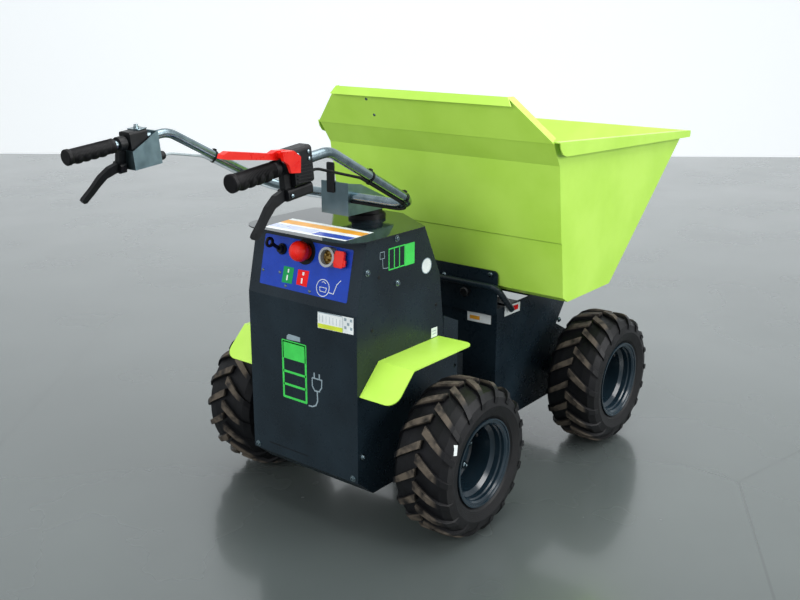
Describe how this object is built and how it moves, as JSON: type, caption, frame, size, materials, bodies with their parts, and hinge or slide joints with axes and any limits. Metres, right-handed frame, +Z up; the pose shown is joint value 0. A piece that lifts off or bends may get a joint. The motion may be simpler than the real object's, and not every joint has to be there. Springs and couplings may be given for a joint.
{
  "type": "walk-behind articulated site dumper",
  "caption": "Battery walk-behind site dumper: articulated frame, lugged wheels, forward-tipping tub and a swept-back handlebar.",
  "frame": {"origin": "on the floor, at the middle of the machine's box", "axes": "+X forward, the way the tub tips; +Y to the machine's left; +Z up"},
  "size_m": [1.8026, 0.828, 1.064],
  "materials": {
    "lime_sheet": "semi-gloss powder coat on folded steel sheet",
    "anthracite_steel": "satin powder coat on welded steel",
    "rim_steel": "gloss enamel on pressed steel",
    "tyre": "moulded tread rubber",
    "zinc_steel": "bright zinc plating",
    "black_rubber": "soft ribbed rubber",
    "black_plastic": "moulded matt",
    "red_plastic": "moulded gloss",
    "grey_plastic": "moulded",
    "cast_housing": "painted casting",
    "turned_steel": "turned",
    "battery_case": "plain block"
  },
  "bodies": {
    "rear_unit": {"rear_frame": "anthracite_steel", "kingpin": "turned_steel", "hood": "anthracite_steel", "rear_cover": "anthracite_steel", "top_cover": "anthracite_steel", "battery": "battery_case", "left_fender": "lime_sheet", "right_fender": "lime_sheet", "rear_axle": "cast_housing", "handlebar": "zinc_steel", "left_grip": "black_rubber", "right_grip": "black_rubber", "left_perch": "black_plastic", "right_perch": "black_plastic", "left_brake_lever": "black_plastic", "right_brake_lever": "black_plastic", "bar_bracket": "zinc_steel", "bar_base": "black_rubber", "stop_button": "red_plastic", "charge_socket": "grey_plastic", "switch_box": "zinc_steel", "switch_unit": "black_plastic", "drive_case": "black_plastic", "drive_lever": "red_plastic", "left_cable": "grey_plastic", "right_cable": "black_rubber"},
    "front_unit": {"front_frame": "anthracite_steel", "tongue": "anthracite_steel", "tub_guard": "anthracite_steel", "catch_bar": "anthracite_steel", "tub_rests": "black_rubber", "tub_pins": "turned_steel", "front_axle": "cast_housing", "ram_pin": "turned_steel"},
    "tub": {"tub": "lime_sheet", "tub_carrier": "anthracite_steel"},
    "ram_body": {"ram_body": "cast_housing"},
    "ram_rod": {"ram_rod": "turned_steel"},
    "wheel_rear_left": {"tyre_rear_left": "tyre", "rim_rear_left": "rim_steel"},
    "wheel_rear_right": {"tyre_rear_right": "tyre", "rim_rear_right": "rim_steel"},
    "wheel_front_left": {"tyre_front_left": "tyre", "rim_front_left": "rim_steel"},
    "wheel_front_right": {"tyre_front_right": "tyre", "rim_front_right": "rim_steel"}
  },
  "joints": [
    {"name": "articulation", "type": "hinge", "parent": "rear_unit", "child": "front_unit", "pos_m": [0.10125, 0, 0.252], "axis": [0, 0, 1], "range_deg": [-30, 30]},
    {"name": "tub_tip", "type": "hinge", "parent": "front_unit", "child": "tub", "pos_m": [0.47925, 0, 0.464], "axis": [0, 1, 0], "range_deg": [0, 70]},
    {"name": "ram_swing", "type": "hinge", "parent": "front_unit", "child": "ram_body", "pos_m": [0.23025, 0, 0.26], "axis": [0, 1, 0], "range_deg": [0, 2.99]},
    {"name": "ram_slide", "type": "slide", "parent": "ram_body", "child": "ram_rod", "axis": [0.6609, 0, 0.7505], "range_m": [0, 0.0608]},
    {"name": "roll_rear_left", "type": "hinge", "parent": "rear_unit", "child": "wheel_rear_left", "pos_m": [-0.22075, 0.3315, 0.198], "axis": [0, 1, 0], "continuous": true},
    {"name": "roll_rear_right", "type": "hinge", "parent": "rear_unit", "child": "wheel_rear_right", "pos_m": [-0.22075, -0.3315, 0.198], "axis": [0, 1, 0], "continuous": true},
    {"name": "roll_front_left", "type": "hinge", "parent": "front_unit", "child": "wheel_front_left", "pos_m": [0.51325, 0.3315, 0.198], "axis": [0, 1, 0], "continuous": true},
    {"name": "roll_front_right", "type": "hinge", "parent": "front_unit", "child": "wheel_front_right", "pos_m": [0.51325, -0.3315, 0.198], "axis": [0, 1, 0], "continuous": true}
  ],
  "couplings": [
    {"joint": "ram_swing", "follows": "tub_tip", "ratio": 0.042422},
    {"joint": "ram_slide", "follows": "tub_tip", "m_per_rad": 0.049346}
  ]
}
